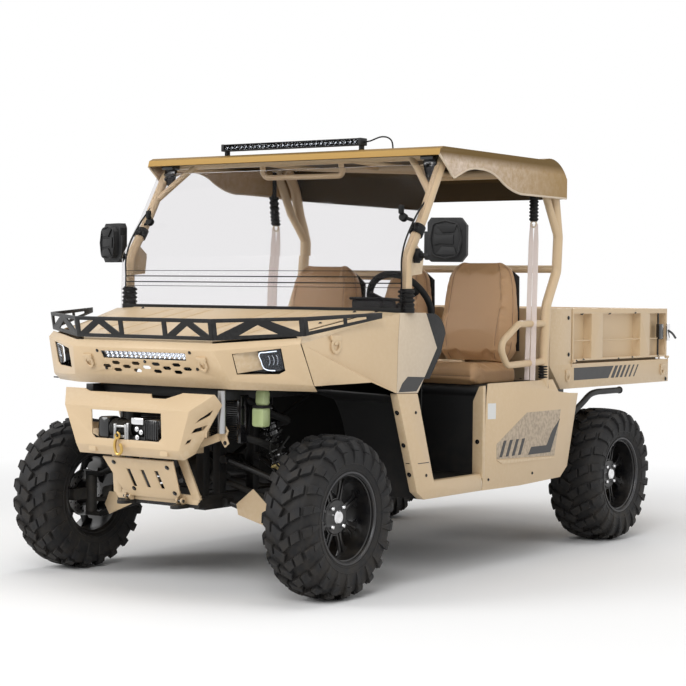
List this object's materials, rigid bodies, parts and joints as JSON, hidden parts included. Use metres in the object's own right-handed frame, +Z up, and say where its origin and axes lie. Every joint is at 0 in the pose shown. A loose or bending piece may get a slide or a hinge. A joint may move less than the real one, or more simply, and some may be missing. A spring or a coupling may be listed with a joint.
{
  "type": "side by side utility vehicle",
  "caption": "Open-cab side by side utility vehicle with bench seat, cage and roof, drop-side tipping bed, hood guard and winch bumper.",
  "frame": {"origin": "centre of the footprint, on the ground", "axes": "+Y towards the tail, +X to the vehicle's left, +Z up"},
  "size_m": [2.1032, 3.62, 1.9852],
  "materials": {
    "sand_paint": "satin",
    "black_steel": "satin",
    "black_plastic": "textured",
    "roof_plastic": "textured",
    "tyre_rubber": "matte",
    "rim_black": "satin",
    "rubber": "matte",
    "seat_cover": "satin",
    "clear_sheet": "polished",
    "lamp": "polished",
    "tail_lens": "polished",
    "bare_steel": "brushed",
    "cast_metal": "rough",
    "webbing": "woven"
  },
  "bodies": {
    "chassis": {"chassis_frame": "black_steel", "floor_pan": "black_plastic", "front_fascia": "sand_paint", "front_side_panels": "sand_paint", "cowl_panels": "sand_paint", "hood_guard": "black_steel", "headlamps": "lamp", "dashboard": "black_plastic", "sill_panels": "sand_paint", "seat_box_panels": "sand_paint", "seat_base": "black_plastic", "bench_seat": "seat_cover", "cage_front": "sand_paint", "cage_rear": "sand_paint", "cage_rails": "sand_paint", "roof_panel": "roof_plastic", "windshield": "clear_sheet", "windshield_clamps": "rubber", "light_bar": "black_plastic", "light_bar_cable": "rubber", "mirrors": "black_plastic", "winch_bumper": "sand_paint", "winch": "bare_steel", "front_skid_plate": "sand_paint", "radiator": "black_plastic", "front_arms": "black_steel", "rear_arms": "black_steel", "shock_absorbers": "black_steel", "driveline": "cast_metal", "engine_block": "cast_metal", "muffler": "bare_steel", "wheel_arch_liners": "black_plastic", "seat_belts": "webbing", "steering_column": "black_steel"},
    "hood": {"hood": "sand_paint"},
    "steering": {"steering_wheel": "rubber"},
    "steer_left": {"knuckle_left": "cast_metal"},
    "steer_right": {"knuckle_right": "cast_metal"},
    "bed": {"bed_tub": "sand_paint", "tail_lamps": "tail_lens"},
    "gate_left": {"side_gate_left": "sand_paint"},
    "gate_right": {"side_gate_right": "sand_paint"},
    "gate_rear": {"tailgate": "sand_paint"},
    "wheel_front_left": {"tyre_front_left": "tyre_rubber", "rim_front_left": "rim_black"},
    "wheel_front_right": {"tyre_front_right": "tyre_rubber", "rim_front_right": "rim_black"},
    "wheel_rear_left": {"tyre_rear_left": "tyre_rubber", "rim_rear_left": "rim_black"},
    "wheel_rear_right": {"tyre_rear_right": "tyre_rubber", "rim_rear_right": "rim_black"}
  },
  "joints": [
    {"name": "steering_turn", "type": "hinge", "parent": "chassis", "child": "steering", "pos_m": [0.44, -0.4325, 1.23], "axis": [0, 0.8192, 0.5736], "range_deg": [-270, 270]},
    {"name": "kingpin_left", "type": "hinge", "parent": "chassis", "child": "steer_left", "pos_m": [0.64, -1.3325, 0.343], "axis": [0, 0, 1], "range_deg": [-27, 27]},
    {"name": "front_wheel_left", "type": "hinge", "parent": "steer_left", "child": "wheel_front_left", "pos_m": [0.71, -1.3325, 0.343], "axis": [1, 0, 0], "continuous": true},
    {"name": "rear_wheel_left", "type": "hinge", "parent": "chassis", "child": "wheel_rear_left", "pos_m": [0.71, 1.0925, 0.343], "axis": [1, 0, 0], "continuous": true},
    {"name": "side_gate_drop_left", "type": "hinge", "parent": "bed", "child": "gate_left", "pos_m": [0.766, 1.0925, 0.942], "axis": [0, 1, 0], "range_deg": [0, 120]},
    {"name": "kingpin_right", "type": "hinge", "parent": "chassis", "child": "steer_right", "pos_m": [-0.64, -1.3325, 0.343], "axis": [0, 0, 1], "range_deg": [-27, 27]},
    {"name": "front_wheel_right", "type": "hinge", "parent": "steer_right", "child": "wheel_front_right", "pos_m": [-0.71, -1.3325, 0.343], "axis": [1, 0, 0], "continuous": true},
    {"name": "rear_wheel_right", "type": "hinge", "parent": "chassis", "child": "wheel_rear_right", "pos_m": [-0.71, 1.0925, 0.343], "axis": [1, 0, 0], "continuous": true},
    {"name": "side_gate_drop_right", "type": "hinge", "parent": "bed", "child": "gate_right", "pos_m": [-0.766, 1.0925, 0.942], "axis": [0, -1, 0], "range_deg": [0, 120]},
    {"name": "hood_lift", "type": "hinge", "parent": "chassis", "child": "hood", "pos_m": [0, -0.9815, 1.182], "axis": [-1, 0, 0], "range_deg": [0, 55]},
    {"name": "bed_tilt", "type": "hinge", "parent": "chassis", "child": "bed", "pos_m": [0, 1.5625, 0.788], "axis": [-1, 0, 0], "range_deg": [0, 45]},
    {"name": "tailgate_drop", "type": "hinge", "parent": "bed", "child": "gate_rear", "pos_m": [0, 1.8025, 0.942], "axis": [-1, 0, 0], "range_deg": [0, 120]}
  ],
  "couplings": [
    {"joint": "kingpin_left", "follows": "steering_turn", "ratio": 0.1},
    {"joint": "kingpin_right", "follows": "steering_turn", "ratio": 0.1}
  ]
}
